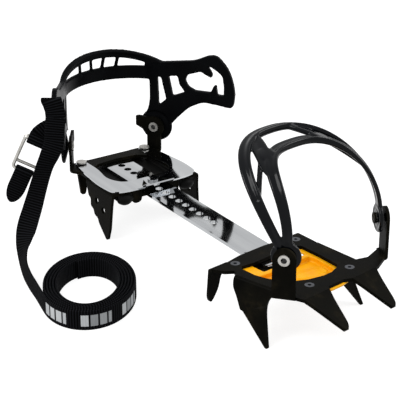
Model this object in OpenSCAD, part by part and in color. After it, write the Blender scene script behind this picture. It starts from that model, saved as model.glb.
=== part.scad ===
// Strap crampon for a right boot: a heel section and a toe section of bent steel sheet, joined by a flat
// adjusting bar, with a moulded heel basket, a moulded toe harness, and one webbing strap with a buckle.
// The crampon stands on its points at z = 0, with the toe towards +X.

/* [Plates] */
// Height of both plates' tops above the ground
plate_top = 40; // [36:1:46]
// Thickness of the steel sheet
sheet = 2.5; // [2:0.1:3]
// Yaw of the toe section about the bar's head, to the left
toe_yaw = 8; // [0:1:9]
// Distance from the heel's front points to the bar's swivel
swivel_x = 146; // [138:1:160]

/* [Heel plate] */
// Half width of the heel plate at its sides
heel_half_w = 40.5; // [38:0.5:44]
// Distance from the heel's front edge back to its rear edge
heel_len = 72; // [68:1:78]
// Width of the heel plate's front strip
heel_front_strip = 14; // [12:1:18]
// Outward lean of the heel's front points
heel_splay = 4; // [0:1:8]
// Length of the heel's rear points below the plate
heel_rear_point = 27; // [18:1:33]

/* [Heel posts] */
// Distance from the heel's front points back to the basket's pivots
heel_pivot_back = 62.5; // [60:0.5:66]
// Half distance between the heel posts at the pivots
heel_pivot_y = 39.5; // [38:0.5:44]
// Height of the basket's pivots above the plate
heel_pivot_h = 19; // [17:0.5:24]
// Toe-out of the heel posts and of the basket's arms
heel_toe = 35; // [33:1:37]
// Width of the heel posts
heel_post_w = 12; // [10:0.5:14]

/* [Toe plate] */
// Shift of the toe harness's middle to the left of the swivel
toe_shift = 9.5; // [7:0.5:11]
// Half distance between the toe posts at the pivots
toe_pivot_y = 50; // [48.5:0.5:53]
// Distance from the swivel forward to the toe posts
toe_pivot_x = 59.6; // [58:0.2:62]
// Height of the harness's pivots above the plate
toe_pivot_h = 27.5; // [24:0.5:32]
// Toe-in of the toe posts
toe_in = 33; // [28:1:36]
// Width of the toe posts
toe_post_w = 16; // [14:0.5:18]
// Outward lean of the side points
side_splay = 14; // [8:1:18]
// Downward slope of the front points
front_slope = 30; // [18:1:34]
// Length of the front points from their bend
front_len = 31; // [24:1:36]
// Length of the toe section's rear points below the plate
toe_rear_point = 24; // [16:1:32]

/* [Bar] */
// Width of the adjusting bar
bar_w = 24.5; // [20:0.5:28]
// Thickness of the adjusting bar
bar_t = 2.5; // [2:0.1:3]
// Pitch of the adjusting holes
hole_pitch = 9.5; // [9:0.1:10]
// Number of adjusting holes
hole_count = 15; // [12:1:15]
// Radius of the adjusting holes
hole_r = 3; // [2.6:0.1:3.4]
// Width of the bar's neck under the toe plate
neck_w = 15; // [12:0.5:15.5]

/* [Lever] */
// Thickness of the spring lever
lever_t = 1.2; // [0.8:0.1:1.6]
// Distance from the heel's front points to the lever's pin, negative is behind
pin_x = -2.5; // [-4:0.5:0]

/* [Basket] */
// Thickness of the basket's arms
arm_t = 4; // [3:0.2:4.4]
// Bottom of the band behind the heel, above the ground
band_z = 99; // [97:1:102]
// Height of the band behind the heel
band_h = 9; // [7:0.5:10]
// Top of the upper rail at the back
rail_top = 125.5; // [124:0.5:129]
// Size of the upper rail's square section
rail_w = 4; // [3:0.2:4.6]

/* [Harness] */
// Half span of the rear arch
rear_span = 56.5; // [54.5:0.5:58.5]
// Length of the rear arch's lean, from the pivots to its top
rear_h = 88; // [80:1:94]
// Half span of the front arch
front_span = 44.5; // [42.5:0.5:46.5]
// Length of the front arch's lean, from the pivots to its top
front_h = 70; // [64:1:76]
// Width of the rear arch's rail
rear_rail_w = 10; // [8:0.5:12]
// Width of the front arch's rail
front_rail_w = 9; // [7:0.5:11]
// Thickness of the rails
harness_t = 4; // [3.2:0.2:4.4]

/* [Pivots] */
// Radius of the hollow rivets' shanks
rivet_r = 2.9; // [2.7:0.1:3]
// Radius of the hollow rivets' bores
rivet_bore = 2.1; // [1.7:0.1:2.3]
// Radius of the rivets' flanges
rivet_flange = 4; // [3.9:0.1:4.6]
// Thickness of the moulded ears at their hubs
ear_t = 4.5; // [4:0.1:5]
// Gap between a post and an ear's hub
hub_gap = 1; // [0.9:0.05:1.2]

/* [Strap] */
// Width of the webbing
strap_w = 15; // [12:0.5:15]
// Thickness of the webbing
strap_t = 1.6; // [1.2:0.1:1.8]
// Step of the coil from turn to turn
coil_step = 2.2; // [2.1:0.1:2.5]
// Turns of the coil
coil_turns = 5.75; // [3.75:0.25:6.75]
// Wire thickness of the buckle's rings
wire = 2.6; // [2.2:0.1:2.8]

/* [Hidden] */
$fn = 48;

// Clearances
run_gap = 0.4;
slip = 0.3;
touch = 0.05;

// Levels
plate_low = plate_top - sheet;
bar_top = plate_low - run_gap;
bar_low = bar_top - bar_t;
tray_top = bar_low - run_gap;
heel_front_x = 2.5;
heel_rear_x = heel_front_x - heel_len;
heel_pivot_z = plate_top + heel_pivot_h;
toe_pivot_z = plate_top + toe_pivot_h;

// Colours
steel_black = [0.16, 0.16, 0.14];
polished = [0.75, 0.77, 0.80];
moulded_black = [0.08, 0.09, 0.12];
yellow = [1.0, 0.72, 0.08];
webbing_black = [0.06, 0.06, 0.07];

module heel_frame() {
    translate([-frame_x, 0, 0]) children();
}

module toe_frame() {
    heel_frame() translate([swivel_x, 0, 0]) rotate([0, 0, toe_yaw]) children();
}

module both_sides() {
    children();
    mirror([0, 1, 0]) children();
}

module slab(outline, low, thick) {
    translate([0, 0, low]) linear_extrude(thick) polygon(outline);
}

// Rounds an outline's corners: each starts to turn `r` before it, or by its own third value, if it has one
function soft(outline, r) = [
    for (i = [0 : len(outline) - 1])
        let (
            n = len(outline),
            p = flat(outline[i]),
            before = flat(outline[(i + n - 1) % n]) - p,
            after = flat(outline[(i + 1) % n]) - p,
            turn = len(outline[i]) > 2 ? outline[i][2] : r,
            a = before * min(turn / norm(before), 0.45),
            b = after * min(turn / norm(after), 0.45)
        )
            each turn == 0 ? [p] : [for (k = [0 : 1 / 3 : 1.01]) p + a * (1 - k) * (1 - k) + b * k * k]
];
function flat(p) = [p.x, p.y];

// A tab bent out of a plate along a line that starts at `at` and runs at `turn` degrees, `from` to `to`
// along it. Its outer side faces right of that line. Its outline, seen square on, is drawn by the 2-D
// children, y away from the bend. The tab is a hair thinner than the plate, so that its faces stay clear
// of the plate's own.
module bent_tab(at, turn, lean, from, to, up = false) {
    outer = sheet - bend_inset;
    arc = [for (k = [0 : 4]) (90 - lean) * k / 4];
    normal = [-cos(lean), sin(lean)];
    down = [-sin(lean), -cos(lean)];
    profile = concat(
        [[bend_lap, bend_inset], [bend_lap, outer]],
        [for (a = arc) outer * [-sin(a), cos(a)]],
        [normal * outer + down * tab_reach, normal * bend_inset + down * tab_reach, normal * bend_inset]
    );
    translate([at.x, at.y, up ? plate_top : plate_low])
        rotate([0, 0, turn])
            mirror([0, 0, up ? 1 : 0])
                intersection() {
                    translate([from - 10, 0, 0])
                        rotate([90, 0, 90]) linear_extrude(to - from + 20) polygon(profile);
                    rotate([90, 0, 0])
                        linear_extrude(2 * tab_reach, center = true) {
                            mirror([0, 1]) children();
                            translate([from, -bend_flat]) square([to - from, sheet + bend_flat]);
                        }
                }
}
bend_inset = 0.1;
bend_lap = 1.5;
bend_flat = 0.4;
tab_reach = 60;

// A square bar from p to q
module strut(p, q, wide, thick) {
    way = q - p;
    long = norm(way);
    translate(p)
        rotate([0, acos(way.z / long), atan2(way.y, way.x)])
            translate([-wide / 2, -thick / 2, 0]) cube([wide, thick, long]);
}

// Hollow rivet along +Z: a flange below z = 0, a shank through `grip`, a flange above it
module hollow_rivet(grip, flange_t) {
    rotate_extrude()
        polygon([
            [rivet_bore, -flange_t], [rivet_flange, -flange_t], [rivet_flange, 0], [rivet_r, 0],
            [rivet_r, grip],
            [rivet_flange, grip], [rivet_flange, grip + flange_t], [rivet_bore, grip + flange_t]
        ]);
}
flange_t = 1;

// An ear of a moulded piece, its axis along +Z from the face that meets the post.
// The inner face is a shallow cone, so that the moulding can rock on its rivet.
module ear_disc(radius) {
    rise = (radius - rivet_flange) * tan(ear_cone);
    rotate_extrude()
        polygon([
            [ear_hole, 0], [rivet_flange, 0], [radius, rise], [radius, ear_t - ear_rim],
            [radius - ear_rim, ear_t],
            [ear_hole, ear_t]
        ]);
}
ear_cone = 14;
ear_rim = 0.6;
ear_hole = rivet_r + 0.8;

// Sweeps a flat section, `wide` across and `thick` through, along points, with an across direction at each
function cross_unit(a, b) = let (c = cross(a, b)) c / norm(c);
function path_way(path, i) =
    let (n = len(path) - 1, d = path[min(i + 1, n)] - path[max(i - 1, 0)]) d / norm(d);
module ribbon(path, across, wide, thick) {
    rings = [
        for (i = [0 : len(path) - 1])
            let (t = path_way(path, i), n = cross_unit(t, across[i]), a = cross_unit(n, t))
                for (c = [[-1, -1], [1, -1], [1, 1], [-1, 1]])
                    path[i] + a * c.x * wide / 2 + n * c.y * thick / 2
    ];
    last = 4 * (len(path) - 1);
    sides = [
        for (i = [0 : len(path) - 2], k = [0 : 3])
            let (a = 4 * i + k, b = 4 * i + (k + 1) % 4)
                each [[a, b + 4, b], [a, a + 4, b + 4]]
    ];
    ends = [[0, 1, 2], [0, 2, 3], [last, last + 2, last + 1], [last, last + 3, last + 2]];
    polyhedron(rings, concat(sides, ends), convexity = 8);
}

// Heel plate

heel_point_from = -38;
heel_reach = plate_low;
heel_side_y = heel_half_w - sheet;
post_from = -heel_post_w / 2;
heel_head_r = 8.5;
heel_normal = [-sin(heel_toe), cos(heel_toe)];
heel_way = [cos(heel_toe), sin(heel_toe)];
heel_post_at = [-heel_pivot_back, heel_pivot_y] - heel_normal * sheet / 2;
post_back = heel_post_at + heel_way * post_from;
post_front = heel_post_at - heel_way * post_from;
rear_point_y0 = 20;
rear_point_y1 = 33;
opening_back_x = heel_rear_x + 12;
opening_front_x = heel_front_x - heel_front_strip;
opening_half_w = 28;
guide_x0 = heel_front_x - 9;
guide_w = 9;
guide_in = bar_w / 2 + run_gap;
guide_lip = 6;
hook_w = 8.5;
hook_drop = 11.5;

// Right half of the heel plate's outline, as its left mirror
heel_half = [
    [heel_rear_x, 0], [heel_rear_x, rear_point_y1 + 1], post_back, post_front,
    [post_front.x + 6, heel_side_y], [heel_front_x, heel_side_y], [heel_front_x, 0]
];
opening_half = [
    [opening_back_x - 2, 0], [opening_back_x, opening_half_w - 10],
    [opening_back_x + 6, opening_half_w - 2],
    [opening_back_x + 16, opening_half_w + 1], [opening_front_x - 8, opening_half_w + 1],
    [opening_front_x - 1, opening_half_w - 3], [opening_front_x, opening_half_w - 12],
    [opening_front_x, 0]
];
function mirrored(half) = concat(half, [for (i = [len(half) - 2 : -1 : 1]) [half[i].x, -half[i].y]]);

module heel_front_point() {
    bent_tab([0, -heel_side_y], 0, heel_splay, heel_point_from, heel_front_x)
        difference() {
            polygon(soft([
                [heel_point_from, 0, 0], [heel_point_from, 2 * bend_flat, 0], [-36, 5], [-33.5, 10.5],
                [-30, 12], [-29.5, 18], [-25, 19.5], [-23, 23.5], [-18, 24.5], [-16, 28],
                [-4, heel_reach], [-2, heel_reach], [0.5, heel_reach - 10], [1.4, 8],
                [heel_front_x, 2 * bend_flat, 0], [heel_front_x, 0, 0]
            ], 1.6));
            translate([-20.7, 10.8]) circle(r = 2.6);
            translate([-10.3, 15.5]) circle(r = 2.6);
        }
}

module heel_rear_tooth() {
    bent_tab([heel_rear_x, rear_point_y1], -90, 0, 0, rear_point_y1 - rear_point_y0)
        polygon(soft([
            [0, 0, 0], [0, 2 * bend_flat, 0], [3, 8], [5.5, heel_rear_point], [9.5, heel_rear_point],
            [11, heel_rear_point - 7],
            [rear_point_y1 - rear_point_y0, 2 * bend_flat, 0], [rear_point_y1 - rear_point_y0, 0, 0]
        ], 1.6));
}

module heel_post() {
    mirror([0, 1, 0])
        bent_tab([heel_post_at.x, -heel_post_at.y], -heel_toe, 0, post_from, -post_from, up = true)
            difference() {
                union() {
                    translate([post_from, 0]) square([heel_post_w, heel_pivot_h]);
                    translate([0, heel_pivot_h]) circle(r = heel_head_r);
                    polygon(soft([
                        [0, heel_pivot_h + 7.5, 0], [-14, heel_pivot_h + 8.5], [-18, heel_pivot_h + 7],
                        [-19, heel_pivot_h + 2], [-16, heel_pivot_h], [-6, heel_pivot_h - 5],
                        [0, heel_pivot_h, 0]
                    ], 2));
                }
                translate([0, heel_pivot_h]) circle(r = rivet_r + touch);
            }
}

module bar_hook() {
    translate([guide_x0, 0, 0]) {
        translate([0, guide_in, bar_low - run_gap - sheet])
            cube([guide_w, sheet, plate_low - bar_low + run_gap + sheet]);
        translate([0, guide_in - guide_lip, bar_low - run_gap - sheet]) cube([guide_w, guide_lip, sheet]);
    }
    translate([heel_front_x - bend_inset, guide_in + bend_inset, plate_low + bend_lap])
        rotate([90, 0, -90])
            linear_extrude(sheet - 2 * bend_inset)
                polygon(soft([
                    [0, 0, 0], [-hook_w, 0, 0], [-hook_w, -hook_drop], [-2, -hook_drop], [0, -hook_drop + 3]
                ], 3));
}

module heel_plate() {
    color(steel_black) heel_frame() {
        difference() {
            slab(mirrored(heel_half), plate_low, sheet);
            slab(mirrored(opening_half), plate_low - 1, sheet + 2);
            translate([pin_x, 0, plate_low - 1]) cylinder(r = hole_r + 1, h = sheet + 2);
            lever_rivet_places() translate([0, 0, plate_low - 1])
                cylinder(r = lever_rivet_r + touch, h = sheet + 2);
        }
        both_sides() {
            heel_front_point();
            heel_rear_tooth();
            heel_post();
            bar_hook();
        }
    }
}

// Heel snow tray: floor under the bar, two side walls up to the plate, and two bulges under the front edge
tray_floor = 2;
tray_half_w = 31;
tray_wall = 3;
tray_back_x = heel_rear_x + 12;
tray_front_x = guide_x0 - slip;
bulge_r = 4.5;
bulge_y0 = guide_in + hook_w + 1;
bulge_y1 = heel_side_y - 3;

module heel_antiball() {
    tray_len = tray_front_x - tray_back_x;
    color(moulded_black) heel_frame() {
        translate([heel_rear_x + 4, -tray_half_w, tray_top - tray_floor])
            cube([tray_front_x - heel_rear_x - 4, 2 * tray_half_w, tray_floor]);
        both_sides() {
            translate([tray_back_x, tray_half_w - tray_wall, tray_top - tray_floor])
                cube([tray_len, tray_wall, plate_low - tray_top + tray_floor]);
            translate([tray_front_x - 1, bulge_y0, tray_top - tray_floor])
                cube([
                    heel_front_x - tray_front_x + 1, bulge_y1 - bulge_y0, plate_low - tray_top + tray_floor
                ]);
            translate([heel_front_x, bulge_y0, plate_low - bulge_r])
                rotate([-90, 0, 0])
                    rotate_extrude()
                        polygon([
                            for (k = [-1 : 0.25 : 1])
                                [bulge_r * (1 - 0.6 * k * k), (bulge_y1 - bulge_y0) * (1 + k) / 2],
                            [0, bulge_y1 - bulge_y0], [0, 0]
                        ]);
        }
    }
}

// Spring lever on the heel plate

lever_rivet_r = 2;
lever_rivet_x = heel_rear_x + 6;
lever_rivet_y = 30;
lever_tail = 4.7;
lever_lip_w = 26;
lever_lip_h = 3;
lever_half = soft([
    [opening_front_x + 1, 0, 0], [opening_front_x + 1, opening_half_w - 6],
    [opening_front_x - 13, opening_half_w + 1], [lever_rivet_x + 18, lever_rivet_y - 5],
    [lever_rivet_x, lever_rivet_y - lever_tail, 0], [lever_rivet_x, lever_rivet_y + lever_tail, 0],
    [lever_rivet_x + 14, heel_side_y - 0.5], [opening_front_x - 8, heel_half_w],
    [heel_front_x - 1, heel_half_w - 1.5], [heel_front_x + 3, heel_half_w - 12],
    [heel_front_x + 3.5, lever_lip_w / 2, 0], [heel_front_x + 3.5, 0, 0]
], 7);

module lever_rivet_places() {
    both_sides() translate([lever_rivet_x, lever_rivet_y, 0]) children();
}

module adjuster_lever() {
    lip_back = opening_front_x + 4;
    lip_front = heel_front_x + 4;
    color(polished) heel_frame() {
        difference() {
            union() {
                slab(mirrored(lever_half), plate_top, lever_t);
                lever_rivet_places() translate([0, 0, plate_top]) cylinder(r = lever_tail, h = lever_t);
            }
            lever_rivet_places() translate([0, 0, plate_top - 1])
                cylinder(r = lever_rivet_r + 0.5, h = lever_t + 2);
            translate([pin_x, 0, plate_top - 1]) cylinder(r = pin_r + touch, h = lever_t + 2);
            both_sides()
                slab(
                    [[lip_back + 1, 6], [lip_front - 4, 8], [lip_front - 4, 13]],
                    plate_top - 1, lever_t + 2
                );
        }
        translate([0, lever_lip_w / 2, plate_top])
            rotate([90, 0, 0])
                linear_extrude(lever_lip_w)
                    polygon([
                        [lip_front - 3.5, 0], [lip_front, 0], [lip_front + lever_lip_h, lever_lip_h],
                        [lip_front + lever_lip_h - lever_t, lever_lip_h + 0.5 * lever_t],
                        [lip_front - 3.5, lever_t]
                    ]);
    }
}

// Pin of the lever: a head on the lever and a shank through the bar's hole
pin_r = hole_r - 0.3;
pin_head_r = 4.2;
pin_head_t = 1.4;

module lever_pin() {
    color(polished) heel_frame() translate([pin_x, 0, 0]) {
        translate([0, 0, bar_low]) cylinder(r = pin_r, h = plate_top + lever_t - bar_low);
        translate([0, 0, plate_top + lever_t]) cylinder(r = pin_head_r, h = pin_head_t);
    }
}

// Rivets at the lever's rear ends, with room under their heads for the lever to lift
lever_head_r = 4.2;
lever_head_gap = 0.8;

module lever_rivets() {
    color(polished) heel_frame() lever_rivet_places() {
        translate([0, 0, plate_low])
            cylinder(r = lever_rivet_r, h = sheet + lever_t + lever_head_gap + 1);
        translate([0, 0, plate_top + lever_t + lever_head_gap]) cylinder(r = lever_head_r, h = 1);
        translate([0, 0, plate_low - 1]) cylinder(r = lever_head_r, h = 1);
    }
}

// Heel basket

// Places a child drawn in an arm's own plane: x along the arm from its pivot, y up from the ground, z out
module on_left_arm(out) {
    translate([-heel_pivot_back, heel_pivot_y, 0])
        rotate([0, 0, heel_toe])
            translate([0, out, 0])
                rotate([90, 0, 180]) mirror([1, 0, 0]) children();
}
ear_out = sheet / 2 + hub_gap;
arm_out = ear_out + ear_t - arm_t - 0.25;
arm_mid = arm_out + arm_t / 2;
basket_ear_r = 14;
tangent_s = 0;
band_x = -heel_pivot_back + (tangent_s + sin(heel_toe) * heel_pivot_y) / cos(heel_toe);
band_r = sin(heel_toe) * (heel_pivot_back + band_x) + cos(heel_toe) * heel_pivot_y + arm_mid;
band_t = 3;

arm_top = band_z + band_h + 7.5;

// The upper rail lies in a plane that rises to the back, and leans in over the band
rail_in = 2.5;
rail_join = [-heel_pivot_back, heel_pivot_y] + heel_normal * arm_mid + heel_way * 6;
rail_join_z = arm_top - 2.5;
rail_back = band_x - band_r + rail_in;
rail_tilt = atan((rail_top - rail_w / 2 - rail_join_z) / (rail_join.x - rail_back));
rail_sag = (rail_join.x - rail_back) / cos(rail_tilt);
rail_r = (rail_join.y * rail_join.y + rail_sag * rail_sag) / (2 * rail_sag);
rail_half_angle = asin(rail_join.y / rail_r);
function rail_point(a) = [
    rail_back + rail_r * cos(rail_tilt) * (1 - cos(a)),
    rail_r * sin(a),
    rail_top - rail_w / 2 - rail_r * sin(rail_tilt) * (1 - cos(a))
];
function band_point(a) = [band_x - band_r * cos(a), band_r * sin(a), band_z + band_h - 1];

arm_outline = soft([
    [-9.5, heel_pivot_z + 9], [-6.3, arm_top - 42], [-4.6, arm_top - 31.5], [-4.8, arm_top - 21],
    [-5, arm_top - 17, 0], [-9, arm_top - 15, 0], [-9, arm_top - 1.5, 0], [4, arm_top - 0.5],
    [35, arm_top + 4], [47.8, arm_top + 10], [54.5, arm_top + 10], [62.7, arm_top + 1.6],
    [67, arm_top - 7], [70, arm_top - 20], [69, arm_top - 30], [67, arm_top - 33.6],
    [56, arm_top - 32], [42, arm_top - 31], [30, arm_top - 37], [19, arm_top - 48],
    [13.5, heel_pivot_z + 2, 0], [0, heel_pivot_z, 0]
], 4);
window_back = soft([
    [2, arm_top - 13.5], [5.4, arm_top - 13.5], [9.8, arm_top - 32], [2.8, arm_top - 38.2]
], 1);
window_mid = soft([
    [12, arm_top - 12], [20, arm_top - 10.8], [21.8, arm_top - 18], [26.4, arm_top - 24],
    [15.4, arm_top - 28.6]
], 1);
slot_outline = soft([
    [26.6, arm_top - 14], [28.8, arm_top - 8.8], [40.6, arm_top - 4.8], [45.6, arm_top - 7.6],
    [50, arm_top - 9.2], [50.5, arm_top - 6], [46.8, arm_top - 0.4], [49, arm_top + 0.3],
    [56.6, arm_top - 4.2, 1], [59.2, arm_top - 6.8, 1], [60.5, arm_top - 16, 1], [60.2, arm_top - 23, 0.5],
    [54.8, arm_top - 23, 0.5], [53.6, arm_top - 15], [52, arm_top - 15], [49, arm_top - 21.6],
    [35, arm_top - 21.6], [29.3, arm_top - 18.8]
], 1.5);

module basket_arm() {
    on_left_arm(arm_out)
        linear_extrude(arm_t)
            difference() {
                polygon(arm_outline);
                polygon(window_back);
                polygon(window_mid);
                polygon(slot_outline);
                translate([0, heel_pivot_z]) circle(r = basket_ear_r - 1);
            }
    on_left_arm(ear_out) translate([0, heel_pivot_z, 0]) ear_disc(basket_ear_r);
}

module heel_basket() {
    band_angle = 92 - heel_toe;
    color(moulded_black) heel_frame() {
        both_sides() basket_arm();
        translate([band_x, 0, band_z])
            rotate([0, 0, 180 - band_angle])
                rotate_extrude(angle = 2 * band_angle, $fn = 96)
                    translate([band_r - band_t / 2, 0]) square([band_t, band_h]);
        translate([rail_back, 0, rail_top - rail_w / 2])
            rotate([0, rail_tilt, 0])
                translate([rail_r, 0, 0])
                    rotate([0, 0, 180 - rail_half_angle])
                        rotate_extrude(angle = 2 * rail_half_angle, $fn = 96)
                            translate([rail_r - rail_w / 2, -rail_w / 2]) square(rail_w);
        for (a = [-18, -5, 5, 18])
            strut(band_point(a), rail_point(a + 2 * sign(a)), 2.6, 2.4);
    }
}

module heel_pivot_rivets() {
    grip = sheet + 2 * hub_gap + ear_t;
    color(polished) heel_frame() both_sides()
        on_left_arm(-sheet / 2) translate([0, heel_pivot_z, 0]) hollow_rivet(grip, flange_t);
}

// Adjusting bar

bar_back_x = pin_x - 5 * hole_pitch - 16;
neck_from = swivel_x - 7;
head_from = swivel_x + 10;
head_to = swivel_x + 17;
first_hole_x = pin_x - 5 * hole_pitch;

module link_bar() {
    color(polished) heel_frame()
        difference() {
            translate([0, 0, bar_low])
                linear_extrude(bar_t)
                    polygon(mirrored([
                        [bar_back_x, 0], [bar_back_x, bar_w / 2 - 2], [bar_back_x + 2, bar_w / 2],
                        [neck_from - 3, bar_w / 2], [neck_from, neck_w / 2], [head_from, neck_w / 2],
                        [head_from, bar_w / 2 - 0.5], [head_to - 2, bar_w / 2 - 0.5],
                        [head_to, bar_w / 2 - 3], [head_to, 0]
                    ]));
            for (i = [0 : hole_count - 1])
                translate([first_hole_x + i * hole_pitch, 0, bar_low - 1])
                    cylinder(r = hole_r, h = bar_t + 2);
        }
}

// Toe plate, drawn from the swivel, u forwards and v to the left

toe_right = toe_shift - toe_pivot_y;
toe_left = toe_shift + toe_pivot_y;
toe_normal = [sin(toe_in), -cos(toe_in)];
toe_way = [cos(toe_in), sin(toe_in)];
toe_post_from = -toe_post_w / 2;
toe_head_r = toe_post_w / 2;
toe_right_at = [toe_pivot_x, toe_right] - toe_normal * sheet / 2;
toe_left_at = [toe_pivot_x, toe_left] + [-toe_normal.x, toe_normal.y] * sheet / 2;
function flip(p) = [p.x, -p.y];
right_post_back = toe_right_at + toe_way * toe_post_from;
right_post_front = toe_right_at - toe_way * toe_post_from;
left_post_back = toe_left_at + flip(toe_way) * toe_post_from;
left_post_front = toe_left_at - flip(toe_way) * toe_post_from;
front_bend_u = 72;
front_mid = [-21, 26];
front_root_w = 24;
front_tip_w = 4;
function front_mid_v(side) = side < 0 ? front_mid[0] : front_mid[1];
function front_tip_u(side) = front_bend_u + front_len * cos(front_slope) - 0.5;
function front_tip_v(side) = front_mid_v(side) + 2.5 - front_tip_w / 2;
side_root = [15, -42];
side_turn = 9;
side_len = 35.5;
side_reach = plate_low;
left_side_root = [17, -36.5];
rear_point_w = 16;
rear_right_v = -49;
rear_left_v = 38;
rear_u = -3;

toe_outline = [
    [rear_u, rear_right_v], [rear_u, rear_right_v + rear_point_w], [rear_u - 2, -20], [rear_u - 2, 4],
    [rear_u, rear_left_v - rear_point_w], [rear_u, rear_left_v],
    [12, rear_left_v - 1], left_side_flat(0), left_side_flat(side_len),
    [54, 37], [57, 46], left_post_back, left_post_front, [71, 42],
    [front_bend_u, front_mid[1] + front_root_w / 2], [front_bend_u, front_mid[1] - front_root_w / 2],
    [front_bend_u - 3, 8], [front_bend_u - 3, -7],
    [front_bend_u, front_mid[0] + front_root_w / 2], [front_bend_u, front_mid[0] - front_root_w / 2],
    right_post_front, right_post_back, right_side_flat(side_len), right_side_flat(0), [10, -38.5], [6, -44]
];
function right_side_flat(s) = side_root + s * [cos(side_turn), sin(side_turn)];
function left_side_flat(s) = flip(left_side_root + s * [1, 0]);
toe_opening = [
    [8.5, -30], [10, -20], [10, 20], [14, 24], [30, 23.5], [50, 21.5], [53, 19], [56, 10], [56, 2],
    [53, -10], [48, -19],
    [41, -26], [33, -30], [24, -32.5], [11, -32.5]
];

module side_point_outline() {
    polygon(soft([
        [0, 0, 0], [0, 2 * bend_flat, 0], [0.5, 5], [4.5, 10], [9.5, 18.5, 1], [11.5, 18.5, 1],
        [34.5, side_reach, 0.6], [36.5, side_reach, 0.6], [30.3, 16],
        [29.5, 10], [31, 4.5], [side_len, 2 * bend_flat, 0], [side_len, 0, 0]
    ], 4));
}

module rear_point_outline() {
    polygon(soft([
        [0, 0, 0], [0, 2 * bend_flat, 0], [-1.5, toe_rear_point - 4], [0.5, toe_rear_point],
        [3, toe_rear_point - 1.5], [8, toe_rear_point - 9],
        [10.5, 5], [rear_point_w, 2 * bend_flat, 0], [rear_point_w, 0, 0]
    ], 3));
}

module toe_post_outline() {
    difference() {
        union() {
            translate([toe_post_from, 0]) square([toe_post_w, toe_pivot_h]);
            translate([0, toe_pivot_h]) circle(r = toe_head_r);
        }
        translate([0, toe_pivot_h]) circle(r = rivet_r + touch);
    }
}

// Front point: bent down from the plate's front edge, and cut to its outline as seen from above
module front_point(mid_v) {
    thick = sheet - 2 * bend_inset;
    run = front_len * cos(front_slope);
    drop = front_len * sin(front_slope);
    back = -2 * bend_lap;
    translate([front_bend_u, mid_v, plate_top])
        intersection() {
            translate([0, front_root_w, -bend_inset])
                rotate([90, 0, 0])
                    linear_extrude(2 * front_root_w)
                        polygon([
                            [back, 0], [0, 0], [run, -drop],
                            [run - thick * sin(front_slope), -drop - thick * cos(front_slope)],
                            [-thick * tan(front_slope / 2), -thick], [back, -thick]
                        ]);
            translate([0, 0, -tab_reach])
                linear_extrude(2 * tab_reach)
                    polygon(soft([
                        [back - 1, -front_root_w / 2, 0], [0, -front_root_w / 2, 0],
                        [5, 2.5 - front_root_w / 2],
                        [run - 5, 1.5 - front_tip_w], [run - 0.5, 1.5 - front_tip_w / 2, 1.2],
                        [run - 0.5, 1.5 + front_tip_w / 2, 1.2], [run - 3.5, 1.5 + front_tip_w],
                        [7, front_root_w / 2 - 2.5], [0, front_root_w / 2, 0],
                        [back - 1, front_root_w / 2, 0]
                    ], 3));
        }
}

module front_plate() {
    color(steel_black) toe_frame() {
        difference() {
            slab(toe_outline, plate_low, sheet);
            slab(toe_opening, plate_low - 1, sheet + 2);
            antiball_rivet_places() {
                translate([0, 0, plate_low - 1]) cylinder(r = small_rivet_r + touch, h = sheet + 2);
                translate([0, 0, plate_top - small_head_t - touch])
                    cylinder(r = small_head_r + touch, h = 2);
            }
        }
        front_point(front_mid[0]);
        front_point(front_mid[1]);
        bent_tab(side_root, side_turn, side_splay, 0, side_len) side_point_outline();
        mirror([0, 1, 0]) bent_tab(left_side_root, 0, side_splay, 0, side_len) side_point_outline();
        mirror([0, 1, 0])
            bent_tab([rear_u, -rear_right_v], -90, 0, 0, rear_point_w) rear_point_outline();
        bent_tab([rear_u, rear_left_v], -90, 0, 0, rear_point_w) rear_point_outline();
        bent_tab(toe_right_at, toe_in, 0, toe_post_from, -toe_post_from, up = true) toe_post_outline();
        mirror([0, 1, 0])
            bent_tab(flip(toe_left_at), toe_in, 0, toe_post_from, -toe_post_from, up = true)
                toe_post_outline();
    }
}

// Yellow snow tray under the toe plate

small_rivet_r = 2.2;
small_head_r = 3.4;
small_head_t = 0.8;
small_bore_r = 1.3;
tray_t = 2;
tray_dish = 4;
antiball_rivet_at = [[2, -30], [3, 29], [59, -15], [59, 25]];
front_tray = [
    [0, -35], [4, -35], [26, -35.5], [36, -33], [50, -22], [57, -19.5], [66, -16],
    [front_bend_u - 1.5, -5],
    [front_bend_u - 1.5, 6], [66, 27], [50, 29], [30, 31], [6, 33], [0, 33], [0, 25], [21, 24],
    [21, -24], [0, -24]
];
front_dish = [
    [24, -30], [33, -27.5], [41, -23.5], [48, -16.5], [53, -8], [55, 2], [54, 10], [50, 19], [30, 21],
    [25, 20], [25, -20]
];

module antiball_rivet_places() {
    for (p = antiball_rivet_at) translate([p.x, p.y, 0]) children();
}

module front_antiball() {
    color(yellow) toe_frame()
        difference() {
            union() {
                slab(front_tray, plate_low - tray_t, tray_t);
                slab(
                    [for (p = front_dish) [40, 0] + (p - [40, 0]) * 1.1],
                    plate_low - tray_t - tray_dish, tray_dish + 1
                );
            }
            slab(front_dish, plate_low - tray_dish, tray_dish + 1);
            antiball_rivet_places()
                translate([0, 0, plate_low - tray_t - 1])
                    cylinder(r = small_rivet_r + touch, h = tray_t + 2);
        }
}

// Hollow eyelets whose upper heads are sunk flush into the plate
module antiball_rivets() {
    low = plate_low - tray_t - small_head_t;
    color([0.35, 0.36, 0.38]) toe_frame()
        antiball_rivet_places()
            difference() {
                union() {
                    translate([0, 0, low]) cylinder(r = small_head_r, h = small_head_t);
                    translate([0, 0, low]) cylinder(r = small_rivet_r, h = plate_top - touch - low);
                    translate([0, 0, plate_top - small_head_t])
                        cylinder(r = small_head_r, h = small_head_t - touch);
                }
                translate([0, 0, low - 1]) cylinder(r = small_bore_r, h = plate_top - low + 2);
            }
}

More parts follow.
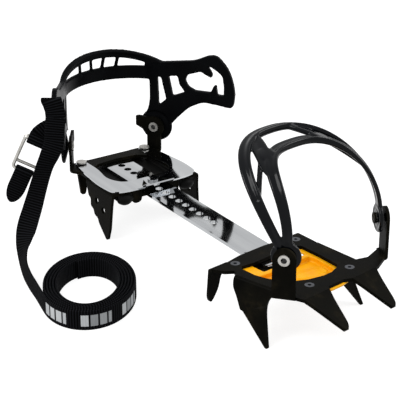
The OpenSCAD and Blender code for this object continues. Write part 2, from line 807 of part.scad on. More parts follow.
// Keeper under the toe plate's rear strip: a floor below the bar's head, and two blocks beside its neck
keeper_wall_in = neck_w / 2 + 2.5;
keeper_wall_out = 18;
keeper_u0 = rear_u;
keeper_u1 = 7;
keeper_floor_u1 = 19;

module bar_keeper() {
    color(steel_black) toe_frame() {
        translate([keeper_u0, -keeper_wall_out, bar_low - run_gap - 2])
            cube([keeper_floor_u1 - keeper_u0, 2 * keeper_wall_out, 2]);
        both_sides()
            translate([keeper_u0, keeper_wall_in, bar_low - run_gap - 2])
                cube([
                    keeper_u1 - keeper_u0, keeper_wall_out - keeper_wall_in,
                    plate_low - bar_low + run_gap + 2
                ]);
    }
}

module toe_pivot_rivets() {
    grip = sheet + 2 * hub_gap + ear_t;
    color(polished) toe_frame() toe_ears()
        translate([0, 0, -hub_gap - sheet]) hollow_rivet(grip, flange_t);
}

// Toe harness

// Places a child at both toe posts: z runs inwards from the plane where the ear's hub starts
module toe_ears() {
    for (side = [-1, 1])
        translate([toe_pivot_x, toe_shift + side * toe_pivot_y, toe_pivot_z])
            rotate([0, 0, side * (90 - toe_in)])
                rotate([0, -90, 0])
                    translate([0, 0, sheet / 2 + hub_gap]) children();
}
harness_ear_r = 10.5;
harness_in = sheet / 2 + hub_gap + ear_t / 2;
harness_u = toe_pivot_x - harness_in * sin(toe_in);
harness_half = toe_pivot_y - harness_in * cos(toe_in);
rear_arch = [22, 26, rear_h, rear_span, 2.4];
front_arch = [-9, 47, front_h, front_span, 2.75];

// A rail leans back by `arch[0]` degrees at its foot and `arch[1]` degrees more at its top. Across, it is a
// superellipse, drawn in at its feet to the ears.
function arch_point(arch, a) =
    let (
        rise = pow(sin(a), 2 / arch[4]),
        lean = arch[0] + arch[1] * rise,
        over = arch[3] * sign(cos(a)) * pow(abs(cos(a)), 2 / arch[4]),
        foot = (harness_half - arch[3]) * sign(cos(a)) * pow(1 - rise, 3)
    )
        [
            harness_u - arch[2] * rise * sin(lean), toe_shift + over + foot,
            toe_pivot_z + arch[2] * rise * cos(lean)
        ];
function arch_out(p) = [
    p.x - (harness_u - harness_half * tan(toe_in)), p.y - toe_shift, 2 * (p.z - toe_pivot_z)
];
arch_steps = 30;
function arch_path(arch, a0, a1) =
    [for (i = [0 : arch_steps]) arch_point(arch, a0 + (a1 - a0) * i / arch_steps)];
function arch_across(path) = [for (i = [0 : len(path) - 1]) cross(path_way(path, i), arch_out(path[i]))];

module arch_rail(arch, wide) {
    path = arch_path(arch, 1.5, 178.5);
    ribbon(path, arch_across(path), wide, harness_t);
}

// On each side a broad web joins the rails near the top, and a strut runs beside the rear rail to that web
web_front_a = 60;
web_rear_a = 76;
web_w = 20;
strut_rear_a = 26;
strut_w = 5.5;
link_bow = 6;
function half_turn(far, a) = abs(180 * far - a);
function bowed(p, q, k) =
    let (out = arch_out((p + q) / 2)) p + (q - p) * k + out / norm(out) * link_bow * k * (1 - k);

// A link from p to q, bowed out a little
module arch_link(p, q, wide) {
    path = [for (k = [0 : 0.25 : 1]) bowed(p, q, k)];
    ribbon(path, arch_across(path), wide, harness_t - 0.4);
}

module toe_harness() {
    color(moulded_black) toe_frame() {
        difference() {
            union() {
                arch_rail(rear_arch, rear_rail_w);
                arch_rail(front_arch, front_rail_w);
                for (far = [0, 1]) {
                    p = arch_point(front_arch, half_turn(far, web_front_a));
                    q = arch_point(rear_arch, half_turn(far, web_rear_a));
                    arch_link(p, q, web_w);
                    foot = arch_point(rear_arch, half_turn(far, strut_rear_a));
                    arch_link(foot, bowed(p, q, 0.5), strut_w);
                }
            }
            toe_ears() translate([0, 0, -10]) cylinder(r = harness_ear_r - 1, h = ear_t + 20);
        }
        toe_ears() ear_disc(harness_ear_r);
    }
}

// Strap

// The loop is sewn round the right arm's end bar
loop_in = 59.6;
loop_out = 70.8;
loop_z = arm_top - 7 - strap_w;
loop_half = arm_t / 2 + run_gap;

module loop_shape(grow) {
    translate([loop_in, -loop_half - grow]) square([loop_out - loop_in, 2 * (loop_half + grow)]);
    translate([loop_in, 0]) circle(r = loop_half + grow);
    translate([loop_out, 0]) circle(r = loop_half + grow);
}

module strap_loop() {
    color(webbing_black) heel_frame()
        mirror([0, 1, 0])
            translate([-heel_pivot_back, heel_pivot_y, loop_z])
                rotate([0, 0, heel_toe])
                    translate([0, arm_mid, 0])
                        linear_extrude(strap_w)
                            difference() {
                                loop_shape(strap_t);
                                loop_shape(0);
                            }
}

// Coil standing on its edge: an oval spiral that winds inwards from where the free strap ends
coil_at = [74.4, -103.1];
coil_yaw = 34;
coil_a = 34;
coil_b = 47;
coil_rings = 30;
coil_start = 150;
coil_lead = 0.06;
function coil_spot(a, in = 0) =
    coil_at + (coil_a - in) * cos(a) * [sin(coil_yaw), cos(coil_yaw)]
        + (coil_b - in) * sin(a) * [cos(coil_yaw), -sin(coil_yaw)];
function coil_point(turn) =
    [each coil_spot(coil_start - 360 * turn, coil_step * max(0, turn - coil_lead)), strap_w / 2];
coil_path = [for (i = [0 : floor(coil_turns * coil_rings)]) coil_point(i / coil_rings)];

// Route of the free strap from the loop to the coil, and the webbing's across direction at each point
function right_arm(s, out) = [
    -heel_pivot_back + s * cos(heel_toe) - out * sin(heel_toe),
    -heel_pivot_y - s * sin(heel_toe) - out * cos(heel_toe)
];
hang_s = loop_out + loop_half + 2 * strap_t;
strap_route = concat(
    [for (k = [0 : 2]) [each right_arm(hang_s, 1.5 + k), arm_top - 3.5 - 10 * k]],
    [
        [-3.3, -89.3, 83], [-5.4, -92.8, 74], [-7.2, -96.2, 63], [-6.7, -100.6, 52], [-4.2, -106, 42],
        [-0.5, -112.5, 32], [5, -118.7, 23.2], [12.5, -123.8, 16], [25, -129, 10.5],
        [39, -132.4, 8], [54, -135.4, strap_w / 2], [66, -138.1, strap_w / 2],
        [each coil_spot(coil_start + 0.15), strap_w / 2]
    ]
);
arm_across = [sin(heel_toe), cos(heel_toe), 0];
strap_across = concat(
    [for (k = [0 : 2]) arm_across],
    [
        [0.57, 0.82, 0], [0.56, 0.82, 0], [0.55, 0.82, 0.05], [0.55, 0.8, 0.1], [0.56, 0.78, 0.2],
        [0.56, 0.7, 0.4], [0.5, 0.55, 0.65], [0.35, 0.35, 0.85], [0.15, 0.15, 0.97],
        [0, 0.05, 1], [0, 0, 1], [0, 0, 1], [0, 0, 1]
    ]
);

module strap_hang() {
    color(webbing_black) heel_frame() ribbon(strap_route, strap_across, strap_w, strap_t);
}

module strap_coil() {
    color(webbing_black) heel_frame()
        ribbon(coil_path, [for (p = coil_path) [0, 0, 1]], strap_w, strap_t);
}

// Least gap of the coil to itself, measured between points more than half a turn apart
coil_gap = min([
    for (i = [0 : len(coil_path) - 1], j = [i + ceil(coil_rings / 2) : 1 : len(coil_path) - 1])
        norm(coil_path[i] - coil_path[j])
]) - strap_t;
echo(coil_gap = coil_gap);

// Buckle: short webbing from the loop, two wire rings, and a tail

eye_w = strap_w;
tab_w = strap_w - 1;
ring_corner = 2.3;
ring_w = eye_w + 2 * wire + 1.3;
ring_h = 27;
ring_less = 5;
buckle_s = 66.5;
buckle_out = 17;
buckle_hang = 25;
ring_step = wire / 2 + 0.35;
eye_r = ring_step + wire / 2 + slip;

// Places a child in the buckle's frame: x across the webbing, y towards the heel, z up along the webbing
module buckle_frame() {
    heel_frame()
        translate([-heel_pivot_back, -heel_pivot_y, arm_top - 25.5])
            rotate([0, 0, 90 - heel_toe])
                translate([-buckle_out, -buckle_s, 0]) rotate([0, buckle_hang, 0]) children();
}

module wire_ring(tall) {
    half = ring_w / 2 - wire / 2;
    for (flip_x = [0, 1])
        mirror([flip_x, 0, 0]) {
            rotate([0, 90, 0]) cylinder(d = wire, h = half - ring_corner);
            translate([0, 0, -tall]) rotate([0, 90, 0]) cylinder(d = wire, h = half - ring_corner);
            translate([half, 0, -tall + ring_corner]) cylinder(d = wire, h = tall - 2 * ring_corner);
            translate([half - ring_corner, 0, -ring_corner])
                rotate([90, 0, 0]) rotate_extrude(angle = 90) translate([ring_corner, 0])
                    circle(d = wire);
            translate([half - ring_corner, 0, -tall + ring_corner])
                rotate([90, 0, 0])
                    rotate([0, 0, -90])
                        rotate_extrude(angle = 90) translate([ring_corner, 0]) circle(d = wire);
        }
}

module ring_outer() {
    color(polished) buckle_frame() translate([0, ring_step, 0]) wire_ring(ring_h - ring_less);
}

module ring_inner() {
    color(polished) buckle_frame() translate([0, -ring_step, 0]) wire_ring(ring_h);
}

// The short webbing: an eye round the rings' top bars, and a patch folded across to the loop
patch_edge = buckle_out - arm_mid - loop_half - strap_t - slip;
patch_low = -1.5;
patch_high = 11;
function hang_turn(p) = [
    p.x * cos(buckle_hang) - p.y * sin(buckle_hang), p.x * sin(buckle_hang) + p.y * cos(buckle_hang)
];

module buckle_webbing() {
    seam = eye_r + 0.4 * strap_t;
    color(webbing_black) buckle_frame() {
        rotate([0, 90, 0])
            translate([0, 0, -eye_w / 2])
                linear_extrude(eye_w)
                    difference() {
                        circle(r = eye_r + strap_t);
                        circle(r = eye_r);
                    }
        translate([0, strap_t / 2, 0])
            rotate([90, 0, 0])
                linear_extrude(strap_t)
                    polygon([
                        [-eye_w / 2, seam], [eye_w / 2, seam], hang_turn([patch_edge, patch_low + 6]),
                        hang_turn([patch_edge, patch_high + 6]), [-eye_w / 2, seam + 5]
                    ]);
    }
}

// Webbing tail held by the rings' lower bars
tail_len = 20;

module release_tab() {
    color(webbing_black) buckle_frame()
        translate([0, -ring_step, -ring_h]) {
            rotate([0, 90, 0])
                translate([0, 0, -tab_w / 2])
                    linear_extrude(tab_w)
                        difference() {
                            circle(r = wire / 2 + touch + strap_t);
                            circle(r = wire / 2 + touch);
                        }
            translate([0, strap_t / 2, -wire / 2 - strap_t / 2])
                rotate([90, 0, 0])
                    linear_extrude(strap_t)
                        union() {
                            translate([-tab_w / 2, -tail_len]) square([tab_w, tail_len]);
                            translate([0, -tail_len]) circle(r = tab_w / 2);
                        }
        }
}

// The whole part is drawn from the heel's front points, and moved so that its box is centred over the origin
right_tip = toe_to_heel([front_tip_u(-1), front_tip_v(-1)]);
band_back_x = band_x - band_r - band_t / 2;
frame_x = (right_tip.x + band_back_x) / 2;
function toe_to_heel(p) = [
    swivel_x + p.x * cos(toe_yaw) - p.y * sin(toe_yaw),
    p.x * sin(toe_yaw) + p.y * cos(toe_yaw)
];

heel_plate();
heel_antiball();
adjuster_lever();
lever_pin();
lever_rivets();
heel_pivot_rivets();
heel_basket();
link_bar();
front_plate();
front_antiball();
antiball_rivets();
bar_keeper();
toe_pivot_rivets();
toe_harness();
strap_loop();
strap_hang();
strap_coil();
buckle_webbing();
ring_outer();
ring_inner();
release_tab();
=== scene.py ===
# %% [markdown]
# # A strap crampon, dressed for the camera
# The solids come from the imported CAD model. They are already in metres and in the right place, so this lesson
# only adds what a CAD solid can't show: woven webbing, soft moulded edges, and finishes. Every length that is
# written in millimetres below goes through one factor, MM.

# %% Load the frame
import math

import bmesh
import bpy
import numpy as np
from mathutils import Matrix


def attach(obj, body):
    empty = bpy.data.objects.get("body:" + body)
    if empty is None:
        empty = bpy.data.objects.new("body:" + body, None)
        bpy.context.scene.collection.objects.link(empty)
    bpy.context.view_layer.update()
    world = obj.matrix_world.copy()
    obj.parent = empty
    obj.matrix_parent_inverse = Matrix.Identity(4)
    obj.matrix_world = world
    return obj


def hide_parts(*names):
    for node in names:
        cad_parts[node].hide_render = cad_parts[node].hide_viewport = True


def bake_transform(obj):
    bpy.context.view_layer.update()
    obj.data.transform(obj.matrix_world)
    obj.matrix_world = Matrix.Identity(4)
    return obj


MM = 0.001
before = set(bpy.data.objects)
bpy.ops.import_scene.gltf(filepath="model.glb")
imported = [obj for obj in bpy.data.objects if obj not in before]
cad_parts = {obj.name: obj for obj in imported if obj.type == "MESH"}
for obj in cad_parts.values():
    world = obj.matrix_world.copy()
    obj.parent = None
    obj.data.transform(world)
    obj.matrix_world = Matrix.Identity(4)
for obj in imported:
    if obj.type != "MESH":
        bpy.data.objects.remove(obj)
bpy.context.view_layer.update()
scene = bpy.context.scene

# %% [markdown]
# ## Where things are
# The part's source draws the heel from the middle of its front points and the toe section from the bar's swivel.
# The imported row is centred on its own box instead. Two small functions carry a point across.

# %% The two drawing frames
ROW_SHIFT = 78.5902
SWIVEL_X = 146.0
TOE_YAW = math.radians(8)


def heel_point(p):
    """Millimetres in the heel's frame to metres in the row's: slide along x, then scale."""
    return (np.asarray(p, float) - [ROW_SHIFT, 0, 0]) * MM


def toe_point(p):
    """Millimetres in the toe's frame to metres in the row's: turn by the yaw about z, slide to the swivel, scale."""
    p = np.asarray(p, float)
    c, s = math.cos(TOE_YAW), math.sin(TOE_YAW)
    turned = np.stack([p[..., 0] * c - p[..., 1] * s + SWIVEL_X, p[..., 0] * s + p[..., 1] * c, p[..., 2]], -1)
    return heel_point(turned)


# %% [markdown]
# ## The camera
# The camera stands in front of the toe and to the right, a little above. A long lens keeps the two plates nearly
# the same scale. Its axes are written straight into its matrix, so nothing has to be aimed.

# %% Camera
VIEW_AZIMUTH = math.radians(34)
VIEW_ELEVATION = math.radians(24)
VIEW_DISTANCE = 1100.0
FOCAL_PIXELS = 1370.0
FRAME_PIXELS = 400.0
SENSOR_WIDTH = 36.0
HEEL_PIXEL = (155.0, 228.0)

back = np.array([
    math.cos(VIEW_AZIMUTH) * math.cos(VIEW_ELEVATION),
    -math.sin(VIEW_AZIMUTH) * math.cos(VIEW_ELEVATION),
    math.sin(VIEW_ELEVATION),
])
right = np.array([math.sin(VIEW_AZIMUTH), math.cos(VIEW_AZIMUTH), 0.0])
up = np.cross(back, right)
per_pixel = VIEW_DISTANCE / FOCAL_PIXELS
heel_right, heel_down = ((pixel - FRAME_PIXELS / 2) * per_pixel for pixel in HEEL_PIXEL)
eye = back * VIEW_DISTANCE - right * heel_right + up * heel_down

camera_data = bpy.data.cameras.new("camera")
camera_data.sensor_width = SENSOR_WIDTH
camera_data.lens = SENSOR_WIDTH * FOCAL_PIXELS / FRAME_PIXELS
camera_data.clip_end = 20.0
camera = bpy.data.objects.new("camera", camera_data)
scene.collection.objects.link(camera)
placed = np.eye(4)
placed[:3, 0], placed[:3, 1], placed[:3, 2], placed[:3, 3] = right, up, back, heel_point(eye)
camera.matrix_world = Matrix(placed.tolist())
scene.camera = camera
print("camera at", np.round(heel_point(eye), 3))

# %% [markdown]
# ## Meshes from arrays
# A shape here is a grid of points: rings of a profile, carried along a path. The helpers turn such a grid into a
# closed mesh with a UV map in millimetres, so that a weave can follow the cloth.

# %% Mesh helpers
UPWARDS = np.array([0.0, 0.0, 1.0])


def new_piece(name, points, faces, uv=None):
    """A mesh object at the origin from vertex and face lists, smooth shaded, with an optional UV per vertex."""
    mesh = bpy.data.meshes.new(name)
    mesh.from_pydata(np.asarray(points).tolist(), [], [list(map(int, f)) for f in faces])
    mesh.polygons.foreach_set("use_smooth", np.ones(len(mesh.polygons), bool))
    if uv is not None:
        corner = np.empty(len(mesh.loops), int)
        mesh.loops.foreach_get("vertex_index", corner)
        layer = mesh.uv_layers.new(name="along")
        layer.data.foreach_set("uv", np.asarray(uv, np.float32)[corner].ravel())
    mesh.update()
    piece = bpy.data.objects.new(name, mesh)
    scene.collection.objects.link(piece)
    return piece


def unit(v):
    """Each row divided by its length."""
    return v / np.linalg.norm(v, axis=-1, keepdims=True)


def smooth_path(points, step):
    """A Catmull-Rom curve through the points, resampled at even steps: position as cubic in each span."""
    p = np.asarray(points, float)
    q = np.vstack([2 * p[0] - p[1], p, 2 * p[-1] - p[-2]])
    t = np.linspace(0, 1, 24, endpoint=False)[:, None]
    spans = [
        0.5 * (2 * b + (c - a) * t + (2 * a - 5 * b + 4 * c - d) * t**2 + (3 * b - a - 3 * c + d) * t**3)
        for a, b, c, d in zip(q[:-3], q[1:-2], q[2:-1], q[3:])
    ]
    line = np.vstack(spans + [p[-1:]])
    along = np.concatenate([[0], np.cumsum(np.linalg.norm(np.diff(line[:, :3], axis=0), axis=1))])
    even = np.linspace(0, along[-1], max(2, int(round(along[-1] / step)) + 1))
    return np.stack([np.interp(even, along, line[:, k]) for k in range(line.shape[1])], -1), even


def carry(path, across, profile):
    """Rings of a profile carried along a path: point = path + across * x + normal * y, normal = way x across."""
    way = unit(np.gradient(path, axis=0))
    normal = unit(np.cross(way, across))
    side = np.cross(normal, way)
    return path[:, None, :] + side[:, None, :] * profile[..., :1] + normal[:, None, :] * profile[..., 1:]


def tube_faces(rings, ring_size, closed=False):
    """Quads between neighbouring rings, and an end face on each end of an open tube."""
    i = np.arange(rings if closed else rings - 1)[:, None]
    j = np.arange(ring_size)[None, :]
    a = i * ring_size + j
    b = i * ring_size + (j + 1) % ring_size
    ahead = ((i + 1) % rings - i) * ring_size
    quads = np.stack([a, b, b + ahead, a + ahead], -1).reshape(-1, 4).tolist()
    if closed:
        return quads
    first = list(range(ring_size))[::-1]
    last = [(rings - 1) * ring_size + k for k in range(ring_size)]
    return quads + [first, last]


# %% [markdown]
# ## The right arm
# The basket's arms stand toed out. The strap and the buckle hang on the end of the right one, so a point there is
# easiest to give in the arm's own plane.

# %% The right arm's plane
HEEL_PIVOT = np.array([-62.5, -39.5, 59.0])
HEEL_TOE = math.radians(35)
ARM_TOP = 115.5
ARM_MID = 4.5
arm_way = np.array([math.cos(HEEL_TOE), -math.sin(HEEL_TOE), 0.0])
arm_out = np.array([-math.sin(HEEL_TOE), -math.cos(HEEL_TOE), 0.0])


def arm_point(along, out, height):
    """A point of the right arm: pivot + along the arm + outwards from its middle plane, at a height."""
    along, out, height = np.broadcast_arrays(*(np.asarray(v, float) for v in (along, out, height)))
    flat = HEEL_PIVOT[:2] + along[..., None] * arm_way[:2] + (out + ARM_MID)[..., None] * arm_out[:2]
    return np.concatenate([flat, height[..., None]], -1)


# %% [markdown]
# ## The webbing strap
# Flat nylon webbing is woven with ribs that run across it, about 2 mm apart. A strip of it is a thin
# rounded rectangle carried along its route; the ribs are real waves in its thickness, so that they catch the light
# at every angle. The strap leaves the loop on the right arm, falls to the floor, turns onto its edge, and ends in
# a roll.

# %% Webbing maker
STRAP_WIDTH = 15.0
STRAP_THICK = 1.6
RIB_PITCH = 2.0
RIB_DEPTH = 0.16


def webbing_profile(width, thick, count=28):
    """A superellipse with exponent 8 across and 3 through: flat faces with rounded edges."""
    a = np.linspace(0, 2 * np.pi, count, endpoint=False)
    x = np.sign(np.cos(a)) * np.abs(np.cos(a)) ** (2 / 8) * width / 2
    y = np.sign(np.sin(a)) * np.abs(np.sin(a)) ** (2 / 3) * thick / 2
    return np.stack([x, y], -1)


def webbing(name, route, across, width=STRAP_WIDTH, step=0.45, start=0.0, taper=0.0):
    """Webbing along a route: the profile's thickness swells and falls as a cosine of the length, one rib a pitch."""
    rows, along = smooth_path(np.hstack([np.asarray(route, float), np.asarray(across, float)]), step)
    path, side = rows[:, :3], rows[:, 3:]
    flat = webbing_profile(width, STRAP_THICK)
    wave = 1 + RIB_DEPTH * np.cos(2 * np.pi * (along + start) / RIB_PITCH)
    narrow = np.ones_like(along)
    if taper:
        left = np.clip((along[-1] - along) / taper, 0, 1)
        narrow = np.sqrt(np.clip(1 - (1 - left) ** 2, 0.02, 1))
    profile = np.stack([flat[None, :, 0] * narrow[:, None], flat[None, :, 1] * wave[:, None]], -1)
    points = carry(path, side, profile)
    uv = np.stack([np.repeat(along + start, len(flat)), np.tile(flat[:, 0], len(along))], -1)
    return new_piece(name, heel_point(points.reshape(-1, 3)), tube_faces(len(along), len(flat)), uv), path, along[-1]


COIL_AT = np.array([74.4, -103.1])
COIL_YAW = math.radians(34)
COIL_A = 34.0
COIL_B = 47.0
COIL_START = 150.0
COIL_STEP = 2.2
COIL_TURNS = 5.75
COIL_LEAD = 0.06


def coil_spot(degrees, shrink=0.0):
    """A point of the roll's oval: a * cos along one axis, b * sin along the other, the axes turned by the yaw."""
    a = np.radians(np.asarray(degrees, float))[..., None]
    shrink = np.asarray(shrink, float)[..., None]
    across = np.array([math.sin(COIL_YAW), math.cos(COIL_YAW)])
    deep = np.array([math.cos(COIL_YAW), -math.sin(COIL_YAW)])
    flat = COIL_AT + (COIL_A - shrink) * np.cos(a) * across + (COIL_B - shrink) * np.sin(a) * deep
    return np.concatenate([flat, np.full_like(a, STRAP_WIDTH / 2)], -1)


HANG_FROM = 76.4
STRAP_ROUTE = np.vstack([
    arm_point(HANG_FROM, np.array([-3.0, -2.0, -1.0]), ARM_TOP - 3.5 - np.array([0.0, 10.0, 20.0])),
    [
        [-3.3, -89.3, 83], [-5.4, -92.8, 74], [-7.2, -96.2, 63], [-6.7, -100.6, 52], [-4.2, -106, 42],
        [-0.5, -112.5, 32], [5, -118.7, 23.2], [12.5, -123.8, 16], [25, -129, 10.5], [39, -132.4, 8],
        [54, -135.4, 7.5], [66, -138.1, 7.5],
    ],
    coil_spot(COIL_START + 0.15),
])
STRAP_ACROSS = np.vstack([
    np.tile(-arm_out, (3, 1)),
    [
        [0.35, 0.94, 0], [0.12, 0.99, 0], [0.05, 1, 0.02], [0.05, 0.99, 0.08], [0.08, 0.97, 0.2],
        [0.12, 0.9, 0.4], [0.15, 0.7, 0.7], [0.12, 0.4, 0.9], [0.06, 0.15, 0.98], [0, 0.05, 1],
        [0, 0, 1], [0, 0, 1], [0, 0, 1],
    ],
])
strap_hang, hang_path, hang_length = webbing("strap_free_length", STRAP_ROUTE, STRAP_ACROSS)
print("free strap:", round(hang_length, 1), "mm")

# %% [markdown]
# The roll stands on its edge. Its path is an oval whose two half-widths shrink by one coil step a turn.

# %% Strap roll
turn = np.linspace(0, COIL_TURNS, 320)
coil_route = coil_spot(COIL_START - 360 * turn, COIL_STEP * np.maximum(0, turn - COIL_LEAD))
strap_roll, _, roll_length = webbing(
    "strap_roll", coil_route, np.tile(UPWARDS, (len(turn), 1)), step=0.47, start=hang_length
)
print("rolled strap:", round(roll_length, 1), "mm")

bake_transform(strap_hang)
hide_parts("strap_hang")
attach(strap_roll, "heel_section")
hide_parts("strap_coil")

# %% [markdown]
# ## Webbing on the right arm
# A loop of the same webbing is sewn round the arm's end bar, a short patch of it carries the two wire rings of the
# buckle, and a tongue hangs from the lower ring. The strap's own end is folded back over the arm. They are the same
# strip, so the same maker serves all four.

# %% Loop, fold, patch and tongue
LOOP_IN, LOOP_OUT, LOOP_HALF, LOOP_LOW = 59.6, 70.8, 3.2, 93.5
half = np.linspace(0, np.pi, 13)
loop_s = np.concatenate([LOOP_OUT + LOOP_HALF * np.sin(half), LOOP_IN - LOOP_HALF * np.sin(half)])
loop_o = np.concatenate([LOOP_HALF * np.cos(half), -LOOP_HALF * np.cos(half)])
loop_route = arm_point(np.append(loop_s, loop_s[0]), np.append(loop_o, loop_o[0]), LOOP_LOW + STRAP_WIDTH / 2)
loop_band, _, _ = webbing("strap_end_loop", loop_route, np.tile(UPWARDS, (len(loop_route), 1)))
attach(loop_band, "basket")
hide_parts("strap_loop")

FOLD_ALONG = [76.4, 76.5, 76.7, 76.9, 75.9, 74.9, 74.7]
FOLD_OUT = [-3.0, -2.7, -1.7, -0.5, 0.0, -0.5, -1.8]
FOLD_HEIGHT = [111.7, 117.0, 121.5, 125.2, 126.4, 125.2, 119.0]
fold_route = arm_point(FOLD_ALONG, FOLD_OUT, FOLD_HEIGHT)
fold, _, _ = webbing("strap_end_fold", fold_route, np.tile(-arm_out, (len(fold_route), 1)))
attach(fold, "basket")
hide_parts("strap_loop")

BUCKLE_HANG = math.radians(25)
BUCKLE_ALONG, BUCKLE_OUT, BUCKLE_Z = 66.5, 17.0, 90.0
BUCKLE_AT = arm_point(BUCKLE_ALONG, BUCKLE_OUT - ARM_MID, BUCKLE_Z)
BX = -arm_out * math.cos(BUCKLE_HANG) - UPWARDS * math.sin(BUCKLE_HANG)
BY = -arm_way
BZ = -arm_out * math.sin(BUCKLE_HANG) + UPWARDS * math.cos(BUCKLE_HANG)


def buckle_point(x, y, z):
    """A point drawn in the buckle's own axes."""
    x, y, z = np.broadcast_arrays(*(np.asarray(v, float)[..., None] for v in (x, y, z)))
    return BUCKLE_AT + x * BX + y * BY + z * BZ


EYE_WIDTH, EYE_MIDDLE = 15.0, 4.05
curl = np.radians(np.linspace(90, -250, 20))
eye_y, eye_z = EYE_MIDDLE * np.cos(curl), EYE_MIDDLE * np.sin(curl)
patch_route = np.concatenate([
    buckle_point(np.zeros_like(curl), eye_y, eye_z)[::-1],
    buckle_point([0.6, 2.4, 4.6, 7.0], [0.0, 0.0, 0.0, 0.0], [6.0, 9.5, 12.5, 14.5]),
])
PATCH_LEAN = np.array([[0.97, 0.24], [0.8, 0.6], [0.65, 0.76], [0.5, 0.87]])
patch_across = np.concatenate([np.tile(BX, (len(curl), 1)), PATCH_LEAN[:, :1] * BX - PATCH_LEAN[:, 1:] * BZ])
patch, _, _ = webbing("buckle_patch", patch_route, patch_across, width=EYE_WIDTH)
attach(patch, "basket")
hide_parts("buckle_webbing")

TAB_WIDTH, RING_BAR_Y, RING_BAR_Z, TAB_LENGTH = 14.0, -1.65, -27.0, 28.0
TAB_WRAP, TAB_ROUND = 2.15, 14.0
wrap = np.radians(np.linspace(270, -80, 14))
tab_y = np.concatenate([RING_BAR_Y + TAB_WRAP * np.cos(wrap), [RING_BAR_Y + 0.3, RING_BAR_Y, RING_BAR_Y]])
tab_z = np.concatenate([RING_BAR_Z + TAB_WRAP * np.sin(wrap), RING_BAR_Z - np.array([6.0, 16.0, TAB_LENGTH])])
tab_route = buckle_point(np.zeros_like(tab_y), tab_y, tab_z)
tab_across = np.tile(BX, (len(tab_route), 1))
tongue, _, _ = webbing("release_tongue", tab_route, tab_across, width=TAB_WIDTH, taper=TAB_ROUND)
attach(tongue, "inner_ring")
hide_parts("release_tab")
print("webbing pieces on the arm: loop, fold, patch, tongue")

# %% [markdown]
# ## Soft-edged mouldings
# A moulded nylon piece has no sharp edge anywhere, and its ribs flow into each other. Overlapping closed shells,
# taken through a fine voxel remesh and relaxed a few times, melt into one skin with small fillets, which is how
# the mould was cut. The result is a plain mesh, so nothing is left live.

# %% Moulding helpers


def arrays_of(mesh_object):
    """Vertex and triangle arrays of an object's mesh, its doubles merged."""
    work = bmesh.new()
    work.from_mesh(mesh_object.data)
    bmesh.ops.remove_doubles(work, verts=work.verts, dist=1e-6)
    bmesh.ops.triangulate(work, faces=work.faces)
    merged = bpy.data.meshes.new("merged")
    work.to_mesh(merged)
    work.free()
    points = np.empty(len(merged.vertices) * 3)
    merged.vertices.foreach_get("co", points)
    corners = np.empty(len(merged.loops), int)
    merged.loops.foreach_get("vertex_index", corners)
    bpy.data.meshes.remove(merged)
    return points.reshape(-1, 3), corners.reshape(-1, 3).tolist()


def joined(shells):
    """Several (points, faces) shells as one, the face numbers moved along."""
    points, faces, start = [], [], 0
    for shell_points, shell_faces in shells:
        points.append(np.asarray(shell_points).reshape(-1, 3))
        faces += [[k + start for k in f] for f in shell_faces]
        start += len(points[-1])
    return np.vstack(points), faces


def moulded(name, shells, voxel, relax):
    """One soft-edged skin round the shells: voxel remesh, then a few rounds of averaging each point's neighbours."""
    piece = new_piece(name, *joined(shells))
    remesh = piece.modifiers.new("remesh", "REMESH")
    remesh.mode = "VOXEL"
    remesh.voxel_size = voxel * MM
    remesh.use_smooth_shade = True
    soften = piece.modifiers.new("soften", "SMOOTH")
    soften.factor = 0.5
    soften.iterations = relax
    skin = bpy.data.meshes.new_from_object(piece.evaluated_get(bpy.context.evaluated_depsgraph_get()))
    rough = piece.data
    piece.modifiers.clear()
    piece.data = skin
    skin.name = name
    bpy.data.meshes.remove(rough)
    print(name, "faces:", len(skin.polygons))
    return piece


# %% [markdown]
# ## The toe harness
# Two arched rails rise from a pair of ears and lean back over the boot's toe. Each rail is a superellipse seen from
# the front, drawn in at its feet. Its section is a soft bar with a shallow channel along the outer face, so that
# two bright lines run along it.

# %% Harness
HARNESS_U, HARNESS_HALF, TOE_SHIFT, TOE_PIVOT_Z = 57.149, 46.226, 9.5, 67.5
TOE_PIVOT = (59.6, 50.0)
TOE_IN = math.radians(33)
REAR_ARCH = (22.0, 26.0, 88.0, 56.5, 2.4)
FRONT_ARCH = (-9.0, 47.0, 70.0, 44.5, 2.75)
REAR_WIDTH, FRONT_WIDTH, RAIL_CHANNEL, CHANNEL_BELL = 8.8, 9.0, 0.26, 0.26
FOOT_DEPTH, CROWN_MORE, FOOT_NARROW = 3.3, 2.5, 0.22
WEB_FRONT, WEB_REAR, GUSSET_FRONT, STRUT_REAR = 42, 77, 60, 22
WEB_WIDTH, WEB_DEPTH, GUSSET_WIDTH, GUSSET_DEPTH, STRUT_WIDTH, STRUT_DEPTH = 11.0, 4.2, 12.0, 3.2, 3.6, 3.8
EAR_FACE, EAR_THICK = 2.25, 4.5


def arch_point(arch, degrees):
    """A rail's point: height * sin(a)^(2/n) along a lean that grows with the height, span * cos(a)^(2/n) across."""
    a = np.radians(np.asarray(degrees, float))
    lean_low, lean_more, height, span, n = arch
    rise = np.abs(np.sin(a)) ** (2 / n)
    lean = np.radians(lean_low + lean_more * rise)
    over = span * np.sign(np.cos(a)) * np.abs(np.cos(a)) ** (2 / n)
    foot = (HARNESS_HALF - span) * np.sign(np.cos(a)) * (1 - rise) ** 3
    return np.stack([
        HARNESS_U - height * rise * np.sin(lean), TOE_SHIFT + over + foot, TOE_PIVOT_Z + height * rise * np.cos(lean),
    ], -1)


def arch_out(p):
    """Outwards from the boot: away from a point behind and between the ears, twice as strongly in height."""
    middle = HARNESS_U - HARNESS_HALF * math.tan(TOE_IN)
    return np.stack([p[..., 0] - middle, p[..., 1] - TOE_SHIFT, 2 * (p[..., 2] - TOE_PIVOT_Z)], -1)


